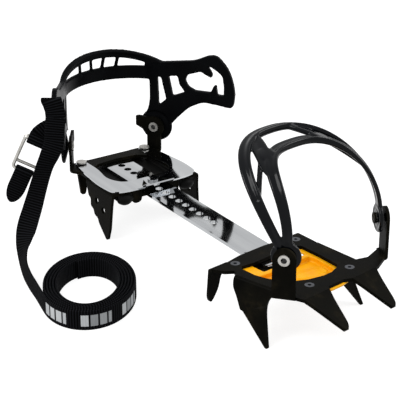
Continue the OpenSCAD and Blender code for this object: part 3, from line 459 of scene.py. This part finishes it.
def bar_profile(width, thick, channel, count=40):
    """A superellipse of exponent 5 across and 3 through, its outer face lowered by a bell curve of that share."""
    a = np.linspace(0, 2 * np.pi, count, endpoint=False)
    x = np.sign(np.cos(a)) * np.abs(np.cos(a)) ** (2 / 5) * width / 2
    y = np.sign(np.sin(a)) * np.abs(np.sin(a)) ** (2 / 3) * thick / 2
    y = y - np.where(y > 0, channel * thick * np.exp(-(x / (CHANNEL_BELL * width)) ** 2), 0)
    return np.stack([x, y], -1)


def bar_shell(path, width, thick, channel):
    """A channelled bar along a path in the toe's frame, its outer face turned away from the boot."""
    way = unit(np.gradient(path, axis=0))
    across = np.cross(arch_out(path), way)
    widths, depths = (np.broadcast_to(v, (len(path),))[:, None] for v in (width, thick))
    flat = bar_profile(1.0, 1.0, channel)
    profile = np.stack([flat[:, 0] * widths, flat[:, 1] * depths], -1)
    return toe_point(carry(path, across, profile)), tube_faces(len(path), len(flat))


def tapered(width, count=41):
    """A link's widths: full along its middle, drawn in at both ends by a fourth power of the distance."""
    return width * (1 - 0.45 * np.linspace(-1, 1, count) ** 4)


def link_path(p, q, bow=6.0, count=41):
    """From p to q in a straight line, bowed outwards as a parabola."""
    out = unit(arch_out((p + q) / 2))
    k = np.linspace(0, 1, count)[:, None]
    return p + (q - p) * k + out * bow * k * (1 - k)


def ear_shell(side):
    """A turned ear: a profile of radius and depth carried round the rivet's axis, its inner face a shallow cone."""
    radius, depth = np.array([
        [3.7, 0.0], [4.3, 0.0], [10.1, 1.45], [10.5, 1.9], [10.5, 3.6], [10.2, 4.1],
        [9.4, EAR_THICK], [8.0, EAR_THICK], [7.2, 4.1], [6.0, 4.1], [5.4, EAR_THICK], [3.7, EAR_THICK],
    ]).T
    spin = np.linspace(0, 2 * np.pi, 72, endpoint=False)
    inwards = np.array([-math.sin(TOE_IN), -side * math.cos(TOE_IN), 0.0])
    level = np.array([-inwards[1], inwards[0], 0.0])
    hub = np.array([TOE_PIVOT[0], TOE_SHIFT + side * TOE_PIVOT[1], TOE_PIVOT_Z]) + inwards * EAR_FACE
    wheel = np.cos(spin)[:, None] * level + np.sin(spin)[:, None] * UPWARDS
    points = hub + wheel[:, None, :] * radius[None, :, None] + inwards * depth[None, :, None]
    return toe_point(points), tube_faces(len(spin), len(radius), closed=True)


rail_angles = np.linspace(1.5, 178.5, 181)
swell = 1 - FOOT_NARROW * np.abs(np.cos(np.radians(rail_angles))) ** 6
rail_depth = FOOT_DEPTH + CROWN_MORE * np.sin(np.radians(rail_angles)) ** 2
harness_shells = [
    bar_shell(arch_point(REAR_ARCH, rail_angles), REAR_WIDTH * swell, rail_depth, RAIL_CHANNEL),
    bar_shell(arch_point(FRONT_ARCH, rail_angles), FRONT_WIDTH * swell, rail_depth, RAIL_CHANNEL),
]
for far in (0, 180):
    web = link_path(arch_point(FRONT_ARCH, abs(far - WEB_FRONT)), arch_point(REAR_ARCH, abs(far - WEB_REAR)))
    gusset = link_path(arch_point(FRONT_ARCH, abs(far - GUSSET_FRONT)), web[len(web) * 3 // 5], bow=2.0)
    strut = link_path(arch_point(REAR_ARCH, abs(far - STRUT_REAR)), web[len(web) * 11 // 20], bow=4.0)
    harness_shells += [
        bar_shell(web, tapered(WEB_WIDTH), WEB_DEPTH, 0.22),
        bar_shell(gusset, tapered(GUSSET_WIDTH), GUSSET_DEPTH, 0.0),
        bar_shell(strut, STRUT_WIDTH, STRUT_DEPTH, 0.1),
    ]
harness_shells += [ear_shell(-1), ear_shell(1)]
harness = moulded("toe_harness_moulding", harness_shells, 0.55, 9)
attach(harness, "harness")
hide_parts("toe_harness")

# %% [markdown]
# ## Basket and trays
# The heel basket and the two snow trays have the right shape in CAD. A merged copy of each, melted the same way,
# gets the rounded edges of a moulding. The basket's band and rail get a rounded rim each, the toe tray the oval
# ridge in its dish and two lips beside the keeper.

# %% Basket and trays
BAND_X, BAND_R, BAND_TOP = -34.84, 52.72, 108.0
RAIL_BACK, RAIL_R, RAIL_Z, RAIL_TILT = -85.06, 53.745, 123.5, math.radians(22.87)
LIP_DROP, LIP_HEIGHT, LIP_THICK = 2.2, 4.4, 3.4
RIM_RISE, RIM_HEIGHT, RIM_THICK = 0.3, 3.6, 3.0
MOULD_VOXEL, MOULD_RELAX = 0.6, 5


def heel_hoop(path, height, thick):
    """A soft bar along a level path in the heel's frame, standing on its edge."""
    profile = bar_profile(height, thick, 0.0)
    across = np.tile(UPWARDS, (len(path), 1))
    return heel_point(carry(path, across, profile)), tube_faces(len(path), len(profile))


round_heel = np.radians(np.linspace(-54, 54, 121))
sunk = RAIL_R * (1 - np.cos(round_heel))
rail_lip = np.stack([
    RAIL_BACK + sunk * math.cos(RAIL_TILT), RAIL_R * np.sin(round_heel),
    RAIL_Z - LIP_DROP - sunk * math.sin(RAIL_TILT),
], -1)
band_rim = np.stack([
    BAND_X - BAND_R * np.cos(round_heel), BAND_R * np.sin(round_heel), np.full_like(round_heel, BAND_TOP + RIM_RISE),
], -1)
basket = moulded("heel_basket_moulding", [
    arrays_of(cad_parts["heel_basket"]),
    heel_hoop(rail_lip, LIP_HEIGHT, LIP_THICK), heel_hoop(band_rim, RIM_HEIGHT, RIM_THICK),
], MOULD_VOXEL, MOULD_RELAX)
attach(basket, "basket")
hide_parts("heel_basket")
heel_tray = moulded("heel_snow_tray", [arrays_of(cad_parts["heel_antiball"])], MOULD_VOXEL, MOULD_RELAX)
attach(heel_tray, "heel_section")
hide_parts("heel_antiball")


def toe_block(u0, u1, v0, v1, low, high):
    """A plain block in the toe's frame, its four sides as one open tube with two ends."""
    ring = np.array([[u0, v0], [u1, v0], [u1, v1], [u0, v1]], float)
    points = np.stack([np.column_stack([ring, np.full(4, z)]) for z in (low, high)])
    return toe_point(points), tube_faces(2, 4)


def toe_ridge(middle, half_u, half_v, tilt, thick):
    """A round ridge along an oval in the toe's frame: a * cos and b * sin to the half power, turned by a tilt."""
    a = np.linspace(0, 2 * np.pi, 90, endpoint=False)
    u = half_u * np.sign(np.cos(a)) * np.sqrt(np.abs(np.cos(a)))
    v = half_v * np.sign(np.sin(a)) * np.sqrt(np.abs(np.sin(a)))
    turned = np.stack([u * math.cos(tilt) + v * math.sin(tilt), v * math.cos(tilt) - u * math.sin(tilt), 0 * a], -1)
    b = np.linspace(0, 2 * np.pi, 12, endpoint=False)
    out = unit(turned)[:, None, :]
    rings = np.array(middle) + turned[:, None, :] + thick * (out * np.cos(b)[:, None] + UPWARDS * np.sin(b)[:, None])
    return toe_point(rings), tube_faces(len(a), len(b), closed=True)


RIDGE_AT, RIDGE_HALF, RIDGE_TILT, RIDGE_THICK = (39.0, 6.0, 33.7), (5.5, 12.0), 0.25, 1.1
SIDE_U, SIDE_NEAR, SIDE_FAR, SIDE_Z = (2.0, 23.0), 20.5, 25.0, (35.6, 37.4)
toe_tray = moulded("toe_snow_tray", [
    arrays_of(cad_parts["front_antiball"]), toe_ridge(RIDGE_AT, *RIDGE_HALF, RIDGE_TILT, RIDGE_THICK),
    toe_block(*SIDE_U, SIDE_NEAR, SIDE_FAR, *SIDE_Z), toe_block(*SIDE_U, -SIDE_FAR, -SIDE_NEAR, *SIDE_Z),
], MOULD_VOXEL, MOULD_RELAX)
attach(toe_tray, "toe_section")
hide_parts("front_antiball")

# %% [markdown]
# ## Sheet metal
# The plates, the bar and the lever keep their CAD shape. The thick painted sheet has a small broken edge, and a
# bevel after a weld gives it: it is the line of light along each edge that makes a plate read as steel.

# %% Broken edges
EDGE_BREAK = 0.35


def break_edges(node, width):
    """Weld the loose triangles, then bevel every edge sharper than 30 degrees by a small width."""
    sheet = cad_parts[node]
    weld = sheet.modifiers.new("weld", "WELD")
    weld.merge_threshold = 1e-6
    bevel = sheet.modifiers.new("bevel", "BEVEL")
    bevel.width = width * MM
    bevel.segments = 2
    bevel.limit_method = "ANGLE"
    bevel.angle_limit = math.radians(30)
    bevel.harden_normals = True
    bevel.use_clamp_overlap = True


for node in ("heel_plate", "front_plate", "bar_keeper"):
    break_edges(node, EDGE_BREAK)

# %% [markdown]
# ## Stage and light
# A plain grey floor, a pale world and two soft lamps light the object. The floor and the world look white only to a
# ray from the eye, also by way of bright metal, so the white background puts no light on the object.

# %% Stage
FLOOR_HALF, FLOOR_GLOW = 6.0, 0.83
ROOM_LIGHT, WHITE = 0.75, 1.0
LAMP_AIM = (0.02, 0, 0.05)


def linear(hex_code):
    """An sRGB hex colour as linear RGBA: c / 12.92 below 0.04045, else ((c + 0.055) / 1.055) ** 2.4."""
    c = np.array([int(hex_code[k:k + 2], 16) for k in (1, 3, 5)]) / 255
    return (*np.where(c <= 0.04045, c / 12.92, ((c + 0.055) / 1.055) ** 2.4), 1.0)


def add_node(tree, kind, links=None, **settings):
    """Adds a node, sets its own properties and input values, and links named inputs to other sockets."""
    node = tree.nodes.new(kind)
    for key, value in settings.items():
        if hasattr(node, key):
            setattr(node, key, value)
        else:
            node.inputs[key.replace("_", " ")].default_value = value
    for socket, source in (links or {}).items():
        tree.links.new(source, node.inputs[socket])
    return node


def new_material(name):
    """An empty node material and its output node."""
    material = bpy.data.materials.new(name)
    material.use_nodes = True
    material.node_tree.nodes.clear()
    return material, material.node_tree, material.node_tree.nodes.new("ShaderNodeOutputMaterial")


def math_node(tree, operation, *terms):
    """A maths node whose inputs are sockets or plain numbers."""
    node = add_node(tree, "ShaderNodeMath", operation=operation)
    for k, term in enumerate(terms):
        if isinstance(term, (int, float)):
            node.inputs[k].default_value = term
        else:
            tree.links.new(term, node.inputs[k])
    return node.outputs[0]


def seen_by_eye(tree, lighting, looking):
    """A strength: looking for a ray from the eye, mirrored or through glass too, and lighting for any other ray."""
    ray = add_node(tree, "ShaderNodeLightPath").outputs
    direct = math_node(tree, "MAXIMUM", ray["Is Camera Ray"], ray["Is Glossy Ray"])
    through = math_node(tree, "MAXIMUM", direct, ray["Is Transmission Ray"])
    return add_node(tree, "ShaderNodeMapRange", {"Value": through}, To_Min=lighting, To_Max=looking).outputs[0]


def mix_colour(tree, first, second, **settings):
    """A colour Mix node, whose colours go into sockets 6 and 7 and come out of socket 2."""
    return add_node(tree, "ShaderNodeMix", {6: first, 7: second}, data_type="RGBA", **settings)


floor_material, tree, out = new_material("pale_paper_sweep")
paper = add_node(
    tree, "ShaderNodeBsdfPrincipled", {"Emission Strength": seen_by_eye(tree, 0.0, FLOOR_GLOW)},
    Base_Color=linear("#969696"), Roughness=0.9, Specular_IOR_Level=0.0, Emission_Color=(1, 1, 1, 1),
)
tree.links.new(paper.outputs[0], out.inputs[0])
floor_material.cycles.emission_sampling = "NONE"
floor_corners = FLOOR_HALF * np.array([[-1, -1, 0], [1, -1, 0], [1, 1, 0], [-1, 1, 0]])
floor = new_piece("floor", floor_corners, [[0, 1, 2, 3]])
floor.data.materials.append(floor_material)

world = bpy.data.worlds.new("studio")
world.use_nodes = True
scene.world = world
sky = world.node_tree.nodes["Background"]
sky.inputs["Color"].default_value = (1, 1, 1, 1)
world.node_tree.links.new(seen_by_eye(world.node_tree, ROOM_LIGHT, WHITE), sky.inputs["Strength"])


def soft_lamp(name, place, aim, size, watts):
    """A square area lamp at a place, its -z axis turned towards aim."""
    data = bpy.data.lights.new(name, "AREA")
    data.size = size
    data.energy = watts
    lamp = bpy.data.objects.new(name, data)
    scene.collection.objects.link(lamp)
    place, aim = np.array(place, float), np.array(aim, float)
    z = unit(place - aim)
    x = unit(np.cross(UPWARDS, z))
    matrix = np.eye(4)
    matrix[:3, 0], matrix[:3, 1], matrix[:3, 2], matrix[:3, 3] = x, np.cross(z, x), z, place
    lamp.matrix_world = Matrix(matrix.tolist())


soft_lamp("key", (-0.2, -0.9, 1.1), LAMP_AIM, 0.7, 12)
soft_lamp("rim", (0.5, 0.9, 0.9), LAMP_AIM, 0.6, 8)
print("stage: floor, world, two lamps")

# %% [markdown]
# ## Finishes
# Black paint on sheet steel is never one black: it is warmer and rougher where it has been rubbed. Bright steel is
# polished, with faint streaks along its length. Rivets and wire rings get painted shade: ambient occlusion darkens
# their base colour in a bore and close to other parts. Nylon mouldings are deep blue-black and glossy. Each finish is
# a small node tree that reads the object's own coordinates.

# %% Finishes


def object_noise(tree, scale, detail=4.0, stretch=(1, 1, 1)):
    """Noise in the object's own metres, stretched along an axis when a scale there is smaller."""
    where = add_node(tree, "ShaderNodeTexCoord")
    mapped = add_node(tree, "ShaderNodeMapping", {"Vector": where.outputs["Object"]}, Scale=stretch)
    return add_node(
        tree, "ShaderNodeTexNoise", {"Vector": mapped.outputs[0]}, Scale=scale, Detail=detail, Roughness=0.6
    ).outputs["Fac"]


def ramp(tree, fac, stops):
    """A colour ramp from (position, colour) pairs."""
    node = add_node(tree, "ShaderNodeValToRGB", {"Fac": fac})
    band = node.color_ramp
    while len(band.elements) < len(stops):
        band.elements.new(0.5)
    for element, (place, colour) in zip(band.elements, stops):
        element.position = place
        element.color = colour
    return node.outputs["Color"]


def between(tree, fac, low, high):
    """A number that runs from low to high as fac runs from 0.3 to 0.7."""
    return add_node(
        tree, "ShaderNodeMapRange", {"Value": fac}, From_Min=0.3, From_Max=0.7, To_Min=low, To_Max=high
    ).outputs[0]


def bump(tree, height, strength, distance):
    """A bump normal from a height."""
    return add_node(tree, "ShaderNodeBump", {"Height": height}, Strength=strength, Distance=distance).outputs[0]


def finish_of(name, stops, noise, rough, grain, **shader):
    """A noise-driven finish: base colour from a ramp, roughness between two values, and a fine grain bump."""
    material, tree, out = new_material(name)
    cloud = object_noise(tree, *noise)
    links = {"Base Color": ramp(tree, cloud, stops), "Roughness": between(tree, cloud, *rough)}
    if grain:
        links["Normal"] = bump(tree, object_noise(tree, grain[0], 2.0), grain[1], grain[2])
    surface = add_node(tree, "ShaderNodeBsdfPrincipled", links, **shader)
    tree.links.new(surface.outputs[0], out.inputs[0])
    return material


paint = finish_of(
    "satin_black_paint", [(0.3, linear("#060605")), (0.55, linear("#0f0e0a")), (0.75, linear("#221e15"))],
    (60.0, 7.0), (0.36, 0.5), (1400.0, 0.3, 0.0002), Specular_IOR_Level=0.015,
)
moulding = finish_of(
    "gloss_blue_black_nylon", [(0.35, linear("#040507")), (0.7, linear("#080a0e"))],
    (30.0, 3.0), (0.1, 0.16), None, Specular_IOR_Level=0.12,
)
satin = finish_of(
    "satin_black_nylon", [(0.35, linear("#030304")), (0.7, linear("#07080a"))],
    (40.0, 3.0), (0.26, 0.38), (900.0, 0.06, 0.0002), Specular_IOR_Level=0.03,
)
tray_black = finish_of(
    "matt_black_moulding", [(0.35, linear("#070707")), (0.7, linear("#0e0e0d"))],
    (60.0, 4.0), (0.45, 0.6), (1200.0, 0.2, 0.0002), Specular_IOR_Level=0.05,
)
tray_yellow = finish_of(
    "yellow_orange_moulding", [(0.3, linear("#ea9403")), (0.5, linear("#f4a806")), (0.7, linear("#fab80c"))],
    (28.0, 3.0), (0.3, 0.42), (900.0, 0.12, 0.0002), Specular_IOR_Level=0.12,
)
bright = finish_of(
    "brushed_bright_steel", [(0.3, linear("#a6a8ab")), (0.5, linear("#b4b6b8")), (0.7, linear("#bec0c2"))],
    (70.0, 2.0, (0.05, 1, 1)), (0.05, 0.08), None, Metallic=1.0,
)
rivet, tree, out = new_material("bright_rivet_nickel")
worn = ramp(tree, object_noise(tree, 200.0), [(0.3, linear("#9a9893")), (0.7, linear("#bebcb7"))])
# Painted shade: ambient occlusion darkens the base colour in a rivet's bore and close to other parts.
painted_shade_occlusion = add_node(tree, "ShaderNodeAmbientOcclusion", samples=16, Distance=0.005)
painted_shade_ramp = ramp(tree, painted_shade_occlusion.outputs["AO"], [(0.32, (0, 0, 0, 1)), (0.5, (1, 1, 1, 1))])
shaded = mix_colour(tree, worn, painted_shade_ramp, blend_type="MULTIPLY", Factor=1.0)
surface = add_node(
    tree, "ShaderNodeBsdfPrincipled", {"Base Color": shaded.outputs[2]}, Metallic=0.75, Roughness=0.34
)
tree.links.new(surface.outputs[0], out.inputs[0])
dark_rivet = finish_of(
    "dark_eyelet", [(0.3, linear("#2c2e33")), (0.7, linear("#4c4f55"))],
    (200.0, 4.0), (0.3, 0.45), None, Metallic=0.6,
)

# %% [markdown]
# The webbing's colour follows its own UV map, in millimetres: a painted highlight on the crown of a rib, painted
# shade in the groove, with yarns as fine lines along the strap. One stretch near the roll's outside is woven in pale
# blocks.

# %% Webbing finish
PALE_FROM, PALE_GROUP, PALE_WOVEN, PALE_GROUPS, PALE_SIDE = hang_length + 4.0, 33.0, 23.0, 3, 5.0
BLOCK_WIDTH, BLOCK_GAP, YARN_PITCH = 6.6, 0.8, 0.7


def wave(tree, value, pitch):
    """0 to 1 as a cosine of a length, one wave a pitch."""
    lifted = math_node(tree, "COSINE", math_node(tree, "MULTIPLY", value, 2 * math.pi / pitch))
    return add_node(tree, "ShaderNodeMapRange", {"Value": lifted}, From_Min=-1.0, From_Max=1.0).outputs[0]


webbing_cloth, tree, out = new_material("ribbed_black_webbing")
uv = add_node(tree, "ShaderNodeUVMap", uv_map="along")
parts = add_node(tree, "ShaderNodeSeparateXYZ", {0: uv.outputs[0]})
rib = wave(tree, parts.outputs["X"], RIB_PITCH)
yarn = wave(tree, parts.outputs["Y"], YARN_PITCH)
# Painted highlight and shade: each rib's crown is coloured lighter and its groove black.
rib_highlight_and_shade = ramp(tree, rib, [(0.0, linear("#010101")), (0.5, linear("#040405")), (1.0, linear("#1a1b1e"))])
centred = add_node(tree, "ShaderNodeMapping", {"Vector": uv.outputs[0]}, Location=(-PALE_FROM, PALE_SIDE, 0))
blocks = add_node(
    tree, "ShaderNodeTexBrick", {"Vector": centred.outputs[0]}, offset=0.0,
    Color1=linear("#cfd2d4"), Color2=linear("#85888b"), Mortar=(0, 0, 0, 1),
    Scale=1.0, Mortar_Size=BLOCK_GAP, Mortar_Smooth=0.4, Brick_Width=BLOCK_WIDTH, Row_Height=2 * PALE_SIDE,
)
run = math_node(tree, "SUBTRACT", parts.outputs["X"], PALE_FROM)
stretch = PALE_GROUP * PALE_GROUPS / 2
in_stretch = math_node(tree, "COMPARE", run, stretch, stretch)
in_group = math_node(tree, "COMPARE", math_node(tree, "MODULO", run, PALE_GROUP), PALE_WOVEN / 2, PALE_WOVEN / 2)
in_width = math_node(tree, "COMPARE", parts.outputs["Y"], 0.0, PALE_SIDE)
woven = math_node(tree, "MULTIPLY", math_node(tree, "MULTIPLY", in_stretch, in_group), in_width)
pale = math_node(tree, "MULTIPLY", woven, math_node(tree, "SUBTRACT", 1.0, blocks.outputs["Fac"]))
cloth = mix_colour(tree, rib_highlight_and_shade, blocks.outputs["Color"])
tree.links.new(pale, cloth.inputs[0])
surface = add_node(
    tree, "ShaderNodeBsdfPrincipled",
    {"Base Color": cloth.outputs[2], "Normal": bump(tree, yarn, 0.35, 0.0002)},
    Roughness=0.8, Specular_IOR_Level=0.03,
)
tree.links.new(surface.outputs[0], out.inputs[0])

# %% Put the finishes on
dressed = {
    paint: ["heel_plate", "front_plate", "bar_keeper"],
    bright: ["link_bar", "adjuster_lever", "lever_pin"],
    rivet: ["lever_rivets", "heel_pivot_rivets", "toe_pivot_rivets", "ring_outer", "ring_inner"],
    dark_rivet: ["antiball_rivets"],
}


def dress(piece, material):
    """Puts one finish on a piece."""
    piece.data.materials.clear()
    piece.data.materials.append(material)


for material, nodes in dressed.items():
    for node in nodes:
        dress(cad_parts[node], material)
for piece, material in (
    (harness, moulding), (basket, satin), (heel_tray, tray_black), (toe_tray, tray_yellow),
    (strap_hang, webbing_cloth), (strap_roll, webbing_cloth), (loop_band, webbing_cloth), (fold, webbing_cloth),
    (patch, webbing_cloth), (tongue, webbing_cloth),
):
    dress(piece, material)


def toe_depth(points):
    """Millimetres inwards of the nearer toe pivot, along its rivet: the toe's frame undone, then a dot product."""
    p = np.asarray(points) / MM + [ROW_SHIFT - SWIVEL_X, 0, 0]
    c, s = math.cos(TOE_YAW), math.sin(TOE_YAW)
    u, v = p[:, 0] * c + p[:, 1] * s, p[:, 1] * c - p[:, 0] * s - TOE_SHIFT
    return (TOE_PIVOT[0] - u) * math.sin(TOE_IN) + (TOE_PIVOT[1] - np.abs(v)) * math.cos(TOE_IN)


# Painted shade: the rivet faces on the boot side of the toe ears take the black paint, so that they read dark.
toe_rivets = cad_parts["toe_pivot_rivets"].data
middles = np.empty(len(toe_rivets.polygons) * 3)
toe_rivets.polygons.foreach_get("center", middles)
toe_rivets.materials.append(paint)
boot_side_painted_shade = toe_depth(middles.reshape(-1, 3)) > EAR_FACE + EAR_THICK
toe_rivets.polygons.foreach_set("material_index", boot_side_painted_shade.astype(np.int32))
print("finishes:", len(dressed) + 5, "dark rivet faces:", int(boot_side_painted_shade.sum()))

# %% Standard view
scene.view_settings.view_transform = "Standard"
scene.cycles.sample_clamp_indirect = 1.0
